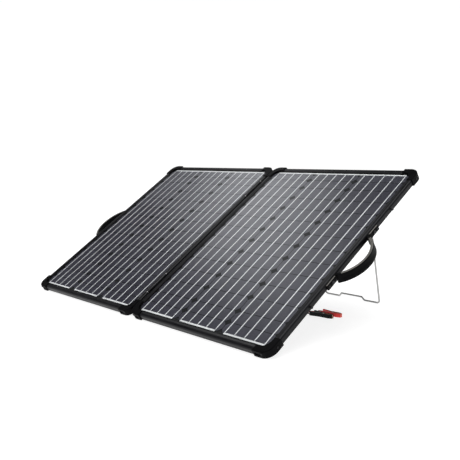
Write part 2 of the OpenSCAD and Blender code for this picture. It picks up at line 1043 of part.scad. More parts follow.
// vinyl cover over the outside of an arm, from its handle to the back of its jaw
module clip_grip() {
    difference() {
        linear_extrude(clip_height)
            polygon([
                [-49, 11], [-12, 3.6], [-11, 6], [7, 6], [23, 6.6], [38.4, 1.8],
                [39.6, 3.8], [24, 9.6], [7, 9.2], [-12, 9.4], [-49, 17]
            ]);
        translate([0, 0, 1])
            linear_extrude(clip_height - 2)
                clip_arm_outline();
    }
}

module fixed_arm() {
    mirror([0, 1, 0])
        clip_arm(1);
}

module moving_arm() {
    clip_arm(2.8);
}

module clip_bases() {
    at_clip(black_clip_place, black_clip_turn)
        fixed_arm();
    at_clip(red_clip_place, red_clip_turn)
        fixed_arm();
}

// hinge pin with its return spring drawn as a closed coil
module clip_pin() {
    translate([0, 0, 0.4])
        cylinder(r = 1.5, h = clip_height - 0.8);
    for (z = [0.3, clip_height - 1])
        translate([0, 0, z])
            cylinder(r = 2.3, h = 0.7);
    translate([0, 0, 4.6])
        difference() {
            cylinder(r = 3.4, h = clip_height - 9.2);
            translate([0, 0, -1])
                cylinder(r = 2, h = clip_height);
        }
}

module clip_pins() {
    at_clip(black_clip_place, black_clip_turn)
        clip_pin();
    at_clip(red_clip_place, red_clip_turn)
        clip_pin();
}

// ---------- nodes ----------

module frame_right() {
    color(black_paint)
        on_panel()
            panel_frame();
}

module frame_left() {
    color(black_paint)
        on_left_panel()
            panel_frame();
}

module glass_right() {
    color(clear_glass)
        on_panel()
            panel_glass();
}

module glass_left() {
    color(clear_glass)
        on_left_panel()
            panel_glass();
}

module cells_right() {
    color(cell_blue)
        on_panel()
            panel_cells();
}

module cells_left() {
    color(cell_blue)
        on_left_panel()
            panel_cells();
}

module ribbons_right() {
    color(ribbon_silver)
        on_panel()
            panel_ribbons();
}

module ribbons_left() {
    color(ribbon_silver)
        on_left_panel()
            panel_ribbons();
}

module backsheet_right() {
    color(sheet_dark)
        on_panel()
            panel_backsheet();
}

module backsheet_left() {
    color(sheet_dark)
        on_left_panel()
            panel_backsheet();
}

module protectors_right() {
    color(black_plastic)
        on_panel()
            at_corners()
                protector();
}

module protectors_left() {
    color(black_plastic)
        on_left_panel()
            at_corners()
                protector();
}

module protector_screws_right() {
    color(steel)
        on_panel()
            protector_screws();
}

module protector_screws_left() {
    color(steel)
        on_left_panel()
            protector_screws();
}

module handle_right() {
    color(black_plastic)
        on_panel()
            handle();
}

module handle_left() {
    color(black_plastic)
        on_left_panel()
            handle();
}

module handle_screws_right() {
    color(dark_alloy)
        on_panel()
            handle_screws();
}

module handle_screws_left() {
    color(dark_alloy)
        on_left_panel()
            handle_screws();
}

module junction_box_right() {
    color(black_plastic)
        on_panel()
            junction_box();
}

module junction_box_left() {
    color(black_plastic)
        on_left_panel()
            junction_box();
}

module leg_right() {
    color(steel)
        on_panel()
            leg();
}

module leg_left() {
    color(steel)
        on_left_panel()
            leg();
}

module leg_brackets_right() {
    color(dark_alloy)
        on_panel()
            leg_brackets();
}

module leg_brackets_left() {
    color(dark_alloy)
        on_left_panel()
            leg_brackets();
}

module leg_clip_right() {
    color(black_plastic)
        on_panel()
            leg_clip();
}

module leg_clip_left() {
    color(black_plastic)
        on_left_panel()
            leg_clip();
}

module hinge_leaves_right() {
    color(dark_alloy)
        on_panel()
            hinge_leaves(0);
}

module hinge_leaves_left() {
    color(dark_alloy)
        on_left_panel()
            hinge_leaves(1);
}

module fold_pins() {
    color(steel)
        on_panel()
            hinge_pins();
}

module hook_front() {
    color(steel)
        on_left_panel()
            latch_hook(latch_places[0]);
}

module hook_rear() {
    color(steel)
        on_left_panel()
            latch_hook(latch_places[1]);
}

module hook_pivots() {
    color(dark_alloy)
        on_left_panel()
            latch_pivots();
}

module hook_studs() {
    color(dark_alloy)
        on_panel()
            latch_studs();
}

module controller_base() {
    color(alloy)
        ctrl_base();
}

module controller_cover() {
    color(black_plastic)
        ctrl_cover();
}

module controller_flanges() {
    color(black_plastic)
        ctrl_flanges();
}

module controller_lcd() {
    color(lcd_green)
        ctrl_lcd();
}

module button_select() {
    color(button_blue)
        ctrl_button(button_places[0]);
}

module button_enter() {
    color(button_blue)
        ctrl_button(button_places[1]);
}

module controller_leds() {
    color(lcd_green)
        ctrl_leds();
}

module controller_terminals() {
    color(black_plastic)
        ctrl_terminals();
}

module controller_screws() {
    color(steel)
        ctrl_screws();
}

module glands() {
    color(black_plastic)
        lead_glands();
}

module panel_leads_right() {
    color(cable_black)
        panel_lead_right();
}

module panel_leads_left() {
    color(cable_black)
        panel_lead_left();
}

module crossing_lead() {
    color(cable_black)
        jumper_lead();
}

module battery_cable() {
    color(cable_black)
        battery_lead();
}

module battery_coil() {
    color(cable_black)
        lead_coil();
}

module battery_boot() {
    color(cable_black)
        y_boot();
}

module lead_black() {
    color(cable_black)
        black_clip_lead();
}

module lead_red() {
    color(clip_red)
        red_clip_lead();
}

module clip_arms_fixed() {
    color(steel)
        clip_bases();
}

module clip_hinge_pins() {
    color(alloy)
        clip_pins();
}

module clip_arm_black() {
    color(steel)
        at_clip(black_clip_place, black_clip_turn)
            moving_arm();
}

module clip_arm_red() {
    color(steel)
        at_clip(red_clip_place, red_clip_turn)
            moving_arm();
}

module grip_black_fixed() {
    color(cable_black)
        at_clip(black_clip_place, black_clip_turn)
            mirror([0, 1, 0])
                clip_grip();
}

module grip_red_fixed() {
    color(clip_red)
        at_clip(red_clip_place, red_clip_turn)
            mirror([0, 1, 0])
                clip_grip();
}

module grip_black_moving() {
    color(cable_black)
        at_clip(black_clip_place, black_clip_turn)
            clip_grip();
}

module grip_red_moving() {
    color(clip_red)
        at_clip(red_clip_place, red_clip_turn)
            clip_grip();
}

frame_right();
frame_left();
glass_right();
glass_left();
cells_right();
cells_left();
ribbons_right();
ribbons_left();
backsheet_right();
backsheet_left();
protectors_right();
protectors_left();
protector_screws_right();
protector_screws_left();
handle_right();
handle_left();
handle_screws_right();
handle_screws_left();
junction_box_right();
junction_box_left();
leg_right();
leg_left();
leg_brackets_right();
leg_brackets_left();
leg_clip_right();
leg_clip_left();
hinge_leaves_right();
hinge_leaves_left();
fold_pins();
hook_front();
hook_rear();
hook_pivots();
hook_studs();
controller_base();
controller_cover();
controller_flanges();
controller_lcd();
button_select();
button_enter();
controller_leds();
controller_terminals();
controller_screws();
glands();
panel_leads_right();
panel_leads_left();
crossing_lead();
battery_cable();
battery_coil();
battery_boot();
lead_black();
lead_red();
clip_arms_fixed();
clip_hinge_pins();
clip_arm_black();
clip_arm_red();
grip_black_fixed();
grip_red_fixed();
grip_black_moving();
grip_red_moving();
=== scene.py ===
import json
import math

import bpy
from mathutils import Matrix, Vector


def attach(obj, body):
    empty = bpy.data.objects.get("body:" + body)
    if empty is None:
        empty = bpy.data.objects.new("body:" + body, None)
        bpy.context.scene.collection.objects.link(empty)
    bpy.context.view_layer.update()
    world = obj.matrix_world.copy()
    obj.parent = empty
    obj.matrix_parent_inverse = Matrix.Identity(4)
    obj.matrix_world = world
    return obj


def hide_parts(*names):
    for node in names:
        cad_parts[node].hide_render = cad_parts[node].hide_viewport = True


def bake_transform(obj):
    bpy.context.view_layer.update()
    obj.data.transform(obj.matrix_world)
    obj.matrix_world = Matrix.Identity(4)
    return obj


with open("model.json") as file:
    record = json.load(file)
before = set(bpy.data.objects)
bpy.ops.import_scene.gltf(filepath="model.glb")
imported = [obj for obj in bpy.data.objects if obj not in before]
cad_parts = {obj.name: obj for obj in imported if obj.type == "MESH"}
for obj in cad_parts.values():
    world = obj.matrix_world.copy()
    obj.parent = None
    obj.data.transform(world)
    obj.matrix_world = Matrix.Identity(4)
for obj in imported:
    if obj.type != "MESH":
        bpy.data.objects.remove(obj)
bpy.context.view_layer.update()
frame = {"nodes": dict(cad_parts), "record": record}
nodes = frame["nodes"]
MM = 0.001

# ---------- places shared with the CAD part, in millimetres and degrees ----------

# A panel's own coordinates: u outward from the fold line, v from front to rear, w from underside
# to glass. The left panel is the right one mirrored in u.
TILT = math.radians(33.7)
FRAME_U, FRAME_V = 3, 2.5
FRAME_WIDTH, FRAME_LENGTH, FRAME_DEPTH = 501.5, 653, 15
MID_U = FRAME_U + FRAME_WIDTH / 2
MID_V = FRAME_V + FRAME_LENGTH / 2
FOLD_AXIS_W = 19
BACK_SHEET_W = 11.6
CONTROLLER_V = 145
GLAND_V = 204.5
GLAND_W = -0.4
HANDLE_V = 326

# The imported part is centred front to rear, so the fold joint's place gives the shift.
FOLD_JOINT = next(j for j in frame["record"]["behaviour"]["joints"] if j["name"] == "fold")
SHIFT_Y = FOLD_JOINT["pos_m"][1] / MM - (
    MID_V * math.cos(TILT) - FOLD_AXIS_W * math.sin(TILT)
)


def on_panel(u, v, w):
    """A point of the right panel's own coordinates, as metres in the row frame."""
    return Vector((
        u * MM,
        (v * math.cos(TILT) - w * math.sin(TILT) + SHIFT_Y) * MM,
        (v * math.sin(TILT) + w * math.cos(TILT)) * MM,
    ))


def panel_way(u, v, w):
    """A unit direction in the row frame from one in the right panel's own coordinates."""
    return (on_panel(u, v, w) - on_panel(0, 0, 0)).normalized()


def on_ground(x, y, z):
    """A point of the ground's coordinates, z up, as metres in the row frame."""
    return Vector((x * MM, (y + SHIFT_Y) * MM, z * MM))


# ---------- camera, where the photo was taken from ----------

camera_data = bpy.data.cameras.new("camera")
camera_data.lens = 51.6
camera_data.sensor_width = 36
camera = bpy.data.objects.new("camera", camera_data)
camera.location = (1.4174, -1.2284, 0.4137)
camera.rotation_euler = tuple(math.radians(a) for a in (83.635, 0.24, 47.845))
bpy.context.scene.collection.objects.link(camera)
bpy.context.scene.camera = camera

# ---------- material helpers ----------


def new_material(name):
    """An empty material with its node tree and its main shader."""
    material = bpy.data.materials.new(name)
    material.use_nodes = True
    tree = material.node_tree
    shader = tree.nodes["Principled BSDF"]
    return material, tree, shader


def node(tree, kind, **inputs):
    """A new shader node with these constants on its sockets."""
    made = tree.nodes.new(kind)
    for key, value in inputs.items():
        made.inputs[key].default_value = value
    return made


def object_noise(tree, scale, detail=4, stretch=(1, 1, 1)):
    """Noise in the object's own coordinates, which are the row frame."""
    coords = tree.nodes.new("ShaderNodeTexCoord")
    mapping = tree.nodes.new("ShaderNodeMapping")
    mapping.inputs["Scale"].default_value = stretch
    noise = node(tree, "ShaderNodeTexNoise", Scale=scale, Detail=detail)
    tree.links.new(coords.outputs["Object"], mapping.inputs["Vector"])
    tree.links.new(mapping.outputs["Vector"], noise.inputs["Vector"])
    return noise


def ramp(tree, source, low, high, at_low, at_high):
    """Turns a value into a colour: at_low up to low, at_high from high on, a mix between."""
    made = tree.nodes.new("ShaderNodeValToRGB")
    made.color_ramp.elements[0].position = low
    made.color_ramp.elements[0].color = (*at_low, 1)
    made.color_ramp.elements[1].position = high
    made.color_ramp.elements[1].color = (*at_high, 1)
    tree.links.new(source, made.inputs["Fac"])
    return made


def spread(tree, source, low, high, to_low, to_high):
    """Maps the range low to high onto the range to_low to to_high."""
    made = tree.nodes.new("ShaderNodeMapRange")
    made.inputs["From Min"].default_value = low
    made.inputs["From Max"].default_value = high
    made.inputs["To Min"].default_value = to_low
    made.inputs["To Max"].default_value = to_high
    tree.links.new(source, made.inputs["Value"])
    return made


def add_bump(tree, shader, source, distance, strength):
    """Roughens the shader's surface by source, up to distance metres."""
    bump = node(tree, "ShaderNodeBump", Distance=distance, Strength=strength)
    tree.links.new(source, bump.inputs["Height"])
    tree.links.new(bump.outputs["Normal"], shader.inputs["Normal"])


def grained(
    name, dark, light, rough,
    grain=900, bump=0.00012, strength=0.35, metallic=0.0, sheen=0.22,
):
    """A moulded, painted or plated surface: uneven colour, uneven gloss and a fine grain."""
    material, tree, shader = new_material(name)
    shader.inputs["Metallic"].default_value = metallic
    shader.inputs["Specular IOR Level"].default_value = sheen
    cloud = object_noise(tree, scale=22, detail=5)
    colours = ramp(tree, cloud.outputs["Fac"], low=0.35, high=0.7, at_low=dark, at_high=light)
    gloss = spread(
        tree, cloud.outputs["Fac"], low=0.3, high=0.75, to_low=rough - 0.05, to_high=rough + 0.07,
    )
    fine = object_noise(tree, grain, detail=3)
    tree.links.new(colours.outputs["Color"], shader.inputs["Base Color"])
    tree.links.new(gloss.outputs["Result"], shader.inputs["Roughness"])
    add_bump(tree, shader, fine.outputs["Fac"], bump, strength)
    return material


def brushed(name, dark, light, rough, stretch=(1, 1, 1)):
    """Bare or plated metal with fine drawn lines."""
    material, tree, shader = new_material(name)
    shader.inputs["Metallic"].default_value = 1.0
    lines = object_noise(tree, scale=600, detail=4, stretch=stretch)
    colours = ramp(tree, lines.outputs["Fac"], low=0.3, high=0.75, at_low=dark, at_high=light)
    gloss = spread(
        tree, lines.outputs["Fac"], low=0.3, high=0.75, to_low=rough - 0.06, to_high=rough + 0.1,
    )
    tree.links.new(colours.outputs["Color"], shader.inputs["Base Color"])
    tree.links.new(gloss.outputs["Result"], shader.inputs["Roughness"])
    add_bump(tree, shader, lines.outputs["Fac"], distance=0.00005, strength=0.2)
    return material


def cell_material():
    """Dark textured silicon with fine finger lines across the panel."""
    material, tree, shader = new_material("cell_silicon")
    shader.inputs["Specular IOR Level"].default_value = 0.95
    shader.inputs["Specular Tint"].default_value = (0.95, 0.93, 1, 1)
    coords = tree.nodes.new("ShaderNodeTexCoord")
    turned = tree.nodes.new("ShaderNodeMapping")
    turned.inputs["Rotation"].default_value = (-TILT, 0, 0)
    tree.links.new(coords.outputs["Object"], turned.inputs["Vector"])
    fingers = tree.nodes.new("ShaderNodeTexWave")
    fingers.wave_type = "BANDS"
    fingers.bands_direction = "Y"
    fingers.inputs["Scale"].default_value = 105
    tree.links.new(turned.outputs["Vector"], fingers.inputs["Vector"])
    fine = ramp(
        tree, fingers.outputs["Fac"], low=0.82, high=0.97, at_low=(0, 0, 0), at_high=(1, 1, 1),
    )
    cloud = object_noise(tree, scale=9, detail=3)
    body = ramp(
        tree, cloud.outputs["Fac"], low=0.35, high=0.7,
        at_low=(0.027, 0.025, 0.037), at_high=(0.034, 0.032, 0.046),
    )
    mix = tree.nodes.new("ShaderNodeMix")
    mix.data_type = "RGBA"
    mix.inputs["B"].default_value = (0.1, 0.1, 0.115, 1)
    share = spread(tree, fine.outputs["Color"], low=0, high=1, to_low=0, to_high=0.12)
    tree.links.new(share.outputs["Result"], mix.inputs["Factor"])
    tree.links.new(body.outputs["Color"], mix.inputs["A"])
    tree.links.new(mix.outputs["Result"], shader.inputs["Base Color"])
    gloss = spread(tree, cloud.outputs["Fac"], low=0.3, high=0.75, to_low=0.31, to_high=0.36)
    tree.links.new(gloss.outputs["Result"], shader.inputs["Roughness"])
    return material


def glass_material():
    """Clear solar glass: see-through, with a soft sheen from its rolled texture."""
    material = bpy.data.materials.new("solar_glass")
    material.use_nodes = True
    tree = material.node_tree
    tree.nodes.remove(tree.nodes["Principled BSDF"])
    output = tree.nodes["Material Output"]
    clear = tree.nodes.new("ShaderNodeBsdfTransparent")
    clear.inputs["Color"].default_value = (0.96, 0.97, 0.97, 1)
    gloss = tree.nodes.new("ShaderNodeBsdfGlossy")
    gloss.inputs["Color"].default_value = (1, 1, 1, 1)
    cloud = object_noise(tree, scale=30, detail=3)
    rough = spread(tree, cloud.outputs["Fac"], low=0.3, high=0.75, to_low=0.24, to_high=0.29)
    tree.links.new(rough.outputs["Result"], gloss.inputs["Roughness"])
    facing = node(tree, "ShaderNodeLayerWeight", Blend=0.5)
    steep = tree.nodes.new("ShaderNodeMath")
    steep.operation = "POWER"
    steep.inputs[1].default_value = 4
    tree.links.new(facing.outputs["Facing"], steep.inputs[0])
    share = spread(tree, steep.outputs["Value"], low=0, high=1, to_low=0.004, to_high=0.12)
    mix = tree.nodes.new("ShaderNodeMixShader")
    tree.links.new(share.outputs["Result"], mix.inputs["Fac"])
    tree.links.new(clear.outputs["BSDF"], mix.inputs[1])
    tree.links.new(gloss.outputs["BSDF"], mix.inputs[2])
    tree.links.new(mix.outputs["Shader"], output.inputs["Surface"])
    return material


MATERIALS = {
    "black_frame": grained(
        "anodised_black", (0.004, 0.004, 0.005), (0.007, 0.007, 0.0085), 0.36,
        grain=1400, bump=0.00003, strength=0.2, sheen=0.16,
    ),
    "solar_glass": glass_material(),
    "solar_cell": cell_material(),
    "solder_ribbon": grained(
        "tinned_ribbon", (0.86, 0.86, 0.87), (0.97, 0.97, 0.98), 0.45,
        grain=500, bump=0.00002, strength=0.2, metallic=0.15,
    ),
    "backing_sheet": grained(
        "dark_film", (0.004, 0.004, 0.005), (0.007, 0.007, 0.008), 0.55,
        grain=1200, bump=0.00004, strength=0.2,
    ),
    "black_plastic": grained(
        "moulded_black", (0.002, 0.002, 0.0024), (0.004, 0.004, 0.0045), 0.46, sheen=0.04,
    ),
    "controller_shell": grained(
        "controller_grey", (0.035, 0.038, 0.042), (0.048, 0.05, 0.055), 0.45,
    ),
    "bright_steel": brushed("bright_steel", (0.55, 0.55, 0.56), (0.75, 0.75, 0.76), 0.28),
    "dark_steel": grained(
        "black_zinc", (0.02, 0.02, 0.022), (0.05, 0.05, 0.052), 0.35,
        bump=0.00005, strength=0.2, metallic=0.8,
    ),
    "leg_wire": brushed(
        "drawn_wire", (0.34, 0.34, 0.34), (0.5, 0.5, 0.49), 0.36, stretch=(1, 1, 0.1),
    ),
    "clip_metal": brushed("plated_clip", (0.62, 0.33, 0.2), (0.8, 0.5, 0.34), 0.32),
    "heat_sink": brushed("dark_aluminium", (0.1, 0.1, 0.11), (0.17, 0.17, 0.18), 0.4),
    "lcd": grained(
        "lcd_face", (0.5, 0.55, 0.52), (0.58, 0.63, 0.6), 0.2,
        grain=500, bump=0.00001, strength=0.1,
    ),
    "blue_button": grained("button_blue", (0.02, 0.16, 0.5), (0.03, 0.22, 0.6), 0.3),
    "lamp_lens": grained("lamp_lens", (0.5, 0.6, 0.5), (0.6, 0.7, 0.6), 0.2),
    "black_cable": grained(
        "black_jacket", (0.008, 0.008, 0.009), (0.014, 0.014, 0.015), 0.5, grain=1600,
    ),
    "red_cable": grained(
        "red_jacket", (0.72, 0.03, 0.03), (0.85, 0.05, 0.045), 0.45, grain=1600,
    ),
    "black_grip": grained(
        "black_vinyl", (0.004, 0.004, 0.0045), (0.008, 0.008, 0.0085), 0.4,
        grain=1100, sheen=0.12,
    ),
    "black_webbing": grained(
        "black_webbing", (0.01, 0.01, 0.01), (0.02, 0.02, 0.02), 0.8,
        grain=700, bump=0.0003, strength=0.8,
    ),
    # painted highlight: the pale grey of the light caught along the handles' top edges
    "handle_highlight_grey": grained("painted_highlight_grey", (0.13, 0.125, 0.115), (0.2, 0.19, 0.175), 0.5),
    "rubber_seal": grained("rubber_seal", (0.004, 0.004, 0.004), (0.008, 0.008, 0.008), 0.6),
    "lcd_ink": grained("lcd_segments", (0.01, 0.01, 0.012), (0.02, 0.02, 0.022), 0.5),
    "face_print": grained("pale_print", (0.6, 0.6, 0.58), (0.7, 0.7, 0.68), 0.5),
    "clear_window": glass_material(),
    "red_grip": grained(
        "red_vinyl", (0.8, 0.045, 0.045), (0.92, 0.075, 0.07), 0.36, grain=1100,
    ),
}

for row in frame["record"]["subparts"]:
    mesh = nodes[row["node"]].data
    mesh.materials.clear()
    mesh.materials.append(MATERIALS[row["material_slot"]])

# ---------- shapes ----------


def placed(right, up, out, origin):
    """A matrix from its three unit directions and its origin."""
    rows = [[right[i], up[i], out[i], origin[i]] for i in range(3)]
    return Matrix(rows + [[0, 0, 0, 1]])


def controller_matrix(z):
    """Places a flat drawing over the controller, z millimetres out from the right back sheet."""
    right, up = panel_way(-1, 0, 0), panel_way(0, 1, 0)
    origin = on_panel(MID_U, CONTROLLER_V, BACK_SHEET_W - z)
    return placed(right, up, right.cross(up), origin)


def panel_matrix(w):
    """Places a flat drawing in the right panel's plane, w millimetres up from its underside."""
    right, up = panel_way(1, 0, 0), panel_way(0, 1, 0)
    return placed(right, up, right.cross(up), on_panel(0, 0, w))


def flat(name, loops, thickness, matrix, slot, body, edge=0.0):
    """A thin piece from closed outlines in millimetres; a loop inside another is a hole."""
    data = bpy.data.curves.new(name, "CURVE")
    data.dimensions = "2D"
    data.fill_mode = "BOTH"
    data.extrude = thickness / 2 * MM - edge * MM
    data.bevel_depth = edge * MM
    data.bevel_resolution = 2
    for loop in loops:
        spline = data.splines.new("POLY")
        spline.points.add(len(loop) - 1)
        for target, (x, y) in zip(spline.points, loop):
            target.co = (x * MM, y * MM, 0, 1)
        spline.use_cyclic_u = True
    data.materials.append(MATERIALS[slot])
    made = bpy.data.objects.new(name, data)
    bpy.context.scene.collection.objects.link(made)
    made.matrix_world = matrix @ Matrix.Translation((0, 0, thickness / 2 * MM))
    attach(made, body)
    return made


def circle(x, y, r, sides):
    """A closed round outline."""
    turns = [2 * math.pi * k / sides for k in range(sides)]
    return [(x + r * math.cos(a), y + r * math.sin(a)) for a in turns]


def box(x, y, width, height):
    """A rectangle's outline from its lower left corner."""
    return [(x, y), (x + width, y), (x + width, y + height), (x, y + height)]


def round_box(x, y, width, height, r):
    """The outline of a rectangle with round corners, from its lower left corner."""
    steps = 6
    loop = []
    for cx, cy, start in (
        (x + width - r, y + r, -90), (x + width - r, y + height - r, 0),
        (x + r, y + height - r, 90), (x + r, y + r, 180),
    ):
        for k in range(steps + 1):
            a = math.radians(start + 90 * k / steps)
            loop.append((cx + r * math.cos(a), cy + r * math.sin(a)))
    return loop


# ---------- leads ----------


def through(points):
    """A smooth line through the route's points."""
    steps = 8
    line = []
    last = len(points) - 1
    for i in range(last):
        a = points[i - 1] if i else 2 * points[0] - points[1]
        b, c = points[i], points[i + 1]
        d = points[i + 2] if i < last - 1 else 2 * points[last] - points[last - 1]
        for k in range(steps):
            t = k / steps
            line.append(0.5 * (
                2 * b + (c - a) * t + (2 * a - 5 * b + 4 * c - d) * t * t
                + (3 * b - a - 3 * c + d) * t ** 3
            ))
    line.append(points[last])
    return line


def lead(name, line, diameter, slot, body, stands_for, with_pieces=()):
    """A round lead along a line of points, diameter in millimetres."""
    data = bpy.data.curves.new(name, "CURVE")
    data.dimensions = "3D"
    data.bevel_depth = diameter * MM / 2
    data.bevel_resolution = 4
    data.use_fill_caps = True
    spline = data.splines.new("POLY")
    spline.points.add(len(line) - 1)
    for target, point in zip(spline.points, line):
        target.co = (*point, 1)
    data.materials.append(MATERIALS[slot])
    made = bpy.data.objects.new(name, data)
    bpy.context.scene.collection.objects.link(made)
    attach(made, body)
    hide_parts(*stands_for)


# the wound part: its centre on the ground, the radii between which the lead's middle winds, the
# top level's height and the levels below it, and the angles in degrees that a level winds and
# that a step down takes
COIL_CENTRE = (205, 285)
COIL_INNER, COIL_OUTER = 29.5, 42.5
COIL_TOP, LEVEL_DROP, LEVELS = 22.6, 6.3, 4
LEVEL_SWEEP = 720
STEP_DOWN_SWEEP = 120
COIL_STEP = 6


def coil_points():
    """The wound part of the battery lead, from the top level's outside to the bottom one's.

    Each level winds two turns, in or out, and then steps down to the next over a third of one.
    """
    turns = []
    angle = 0
    for level in range(LEVELS):
        inward = level % 2 == 0
        start, end = (COIL_OUTER, COIL_INNER) if inward else (COIL_INNER, COIL_OUTER)
        z = COIL_TOP - LEVEL_DROP * level
        for k in range(0, LEVEL_SWEEP, COIL_STEP):
            turns.append((angle + k, start + (end - start) * k / LEVEL_SWEEP, z))
        angle += LEVEL_SWEEP
        if level < LEVELS - 1:
            for k in range(0, STEP_DOWN_SWEEP, COIL_STEP):
                share = k / STEP_DOWN_SWEEP
                eased = share * share * (3 - 2 * share)
                turns.append((angle + k, end, z - LEVEL_DROP * eased))
            angle += STEP_DOWN_SWEEP
    turns.append((angle, COIL_OUTER, COIL_TOP - LEVEL_DROP * (LEVELS - 1)))
    return [
        on_ground(
            COIL_CENTRE[0] + r * math.cos(math.radians(a)),
            COIL_CENTRE[1] + r * math.sin(math.radians(a)),
            z,
        )
        for a, r, z in turns
    ]


# the strap round the coil: its width, its outline's sizes and height off the ground, how thick it
# is at the sides and at top and bottom, and the roundness of its corners and edges
TIE_WIDTH = 12
TIE_LONG, TIE_HIGH, TIE_LOW = 21.6, 26.2, 0.05
TIE_SIDE, TIE_TOP = 0.6, 0.5
TIE_CORNER_R, TIE_EDGE = 4, 0.1


def coil_tie(angle):
    """A woven strap round all the turns of the coil, at this angle in degrees."""
    a = math.radians(angle)
    radial = Vector((math.cos(a), math.sin(a), 0))
    up = Vector((0, 0, 1))
    along = radial.cross(up)
    origin = (
        on_ground(*COIL_CENTRE, 0)
        + radial * (COIL_INNER + COIL_OUTER) / 2 * MM
        - along * TIE_WIDTH / 2 * MM
    )
    outside = round_box(-TIE_LONG / 2, TIE_LOW, TIE_LONG, TIE_HIGH, TIE_CORNER_R)
    inside = round_box(
        -TIE_LONG / 2 + TIE_SIDE, TIE_LOW + TIE_TOP,
        TIE_LONG - 2 * TIE_SIDE, TIE_HIGH - 2 * TIE_TOP, TIE_CORNER_R - TIE_SIDE,
    )
    return flat(
        f"coil_tie_{angle}", [outside, inside], TIE_WIDTH, placed(radial, up, along, origin),
        "black_webbing", "right_panel", TIE_EDGE,
    )


# the leads' diameters, and the boot where the battery lead splits in two
LEAD_D = 6
CLIP_LEAD_D = 4
PANEL_LEAD_D = 5
BOOT = Vector((253, 331, 5.5))
BOOT_LENGTH = 24
BOOT_TURN = math.radians(40)
BOOT_WAY = Vector((math.cos(BOOT_TURN), math.sin(BOOT_TURN), 0))
BOOT_SIDE = Vector((-math.sin(BOOT_TURN), math.cos(BOOT_TURN), 0))
LEAD_SPLIT = 2.2
BOOT_FRONT = BOOT + (BOOT_LENGTH - 1) * BOOT_WAY
GLAND_PITCH = 35
CROSSING_V, CROSSING_W = 470, -1.5

# from the controller down to the ground, round the coil and out to the boot
drop = [
    on_panel(MID_U + GLAND_PITCH, GLAND_V, GLAND_W),
    on_ground(288.75, 190, 122.5), on_ground(288, 210, 122), on_ground(286, 225, 106),
    on_ground(281, 234, 84), on_ground(272, 242, 60), on_ground(260, 252, 38),
    on_ground(250, 268, 25.5),
]
wound = coil_points()
run_out = [
    on_ground(247.5, 303, 3.4), on_ground(249.5, 318, 3.9), on_ground(*(BOOT + 2 * BOOT_WAY)),
]
battery_line = (
    through(drop + [wound[0]])[:-1] + wound[:-1] + through([wound[-1]] + run_out)
)
lead(
    "battery_lead", battery_line, LEAD_D, "black_cable", "right_panel",
    ["battery_cable", "battery_coil"],
    [nodes["battery_boot"], coil_tie(200), coil_tie(20)],
)

# from the boot to the two clips
black_line = through([
    on_ground(*(BOOT_FRONT - LEAD_SPLIT * BOOT_SIDE)),
    on_ground(281, 348.5, 4.6), on_ground(293.5, 350.6, 4.6), on_ground(306.4, 354.1, 5.2),
])
lead(
    "black_clip_lead", black_line, CLIP_LEAD_D, "black_cable", "right_panel",
    ["lead_black"],
    [nodes[n] for n in (
        "clip_arms_fixed", "clip_hinge_pins", "grip_black_fixed", "grip_black_moving",
        "clip_arm_black",
    )],
)
red_line = through([
    on_ground(*(BOOT_FRONT + LEAD_SPLIT * BOOT_SIDE)),
    on_ground(277.5, 357, 4.6), on_ground(286, 368, 4.6), on_ground(295.5, 377.5, 4.6),
    on_ground(303.5, 380.8, 5), on_ground(313.9, 381, 5.2),
])
lead(
    "red_clip_lead", red_line, CLIP_LEAD_D, "red_cable", "right_panel",
    ["lead_red"],
    [nodes[n] for n in ("grip_red_fixed", "grip_red_moving", "clip_arm_red")],
)

# leads fixed to the backs of the panels
panel_run = through([
    on_panel(MID_U, v, w) for v, w in
    ((546, 6), (500, 7), (400, 7), (300, 7), (245, 6), (222, 2), (GLAND_V, GLAND_W))
])
lead("right_panel_lead", panel_run, PANEL_LEAD_D, "black_cable", "right_panel",
     ["panel_leads_right"])
joining_run = through([
    on_panel(*p) for p in (
        (22, CROSSING_V, CROSSING_W), (40, 462, 1), (70, 440, 6), (130, 380, 7),
        (185, 300, 7), (214, 250, 6), (218.75, 224, 2), (MID_U - GLAND_PITCH, GLAND_V, GLAND_W),
    )
])
lead("joining_lead_right", joining_run, PANEL_LEAD_D, "black_cable", "right_panel",
     [])
left_run = through([
    on_panel(-u, v, w) for u, v, w in (
        (26.3, CROSSING_V, CROSSING_W), (43, 476, 1), (72, 500, 6), (130, 545, 6),
        (175, 562, 6), (212.75, 565, 6),
    )
])
lead("joining_lead_left", left_run, PANEL_LEAD_D, "black_cable", "left_panel",
     ["panel_leads_left"])


def tube_mesh(name, line, radius, sides, across, slot):
    """A round tube of rings along a line; across is a direction the line never runs along."""
    mesh = bpy.data.meshes.new(name)
    verts, faces = [], []
    count = len(line)
    for i, point in enumerate(line):
        heading = (line[min(i + 1, count - 1)] - line[max(i - 1, 0)]).normalized()
        side = heading.cross(across).normalized()
        up = side.cross(heading)
        for k in range(sides):
            a = 2 * math.pi * k / sides
            verts.append(point + radius * (math.cos(a) * side + math.sin(a) * up))
    for i in range(count - 1):
        for k in range(sides):
            n = (k + 1) % sides
            faces.append((i * sides + k, i * sides + n, (i + 1) * sides + n, (i + 1) * sides + k))
    faces.append(tuple(reversed(range(sides))))
    faces.append(tuple((count - 1) * sides + k for k in range(sides)))
    mesh.from_pydata(verts, [], faces)
    for polygon in mesh.polygons:
        polygon.use_smooth = len(polygon.vertices) == 4
    mesh.materials.append(MATERIALS[slot])
    made = bpy.data.objects.new(name, mesh)
    bpy.context.scene.collection.objects.link(made)
    return made


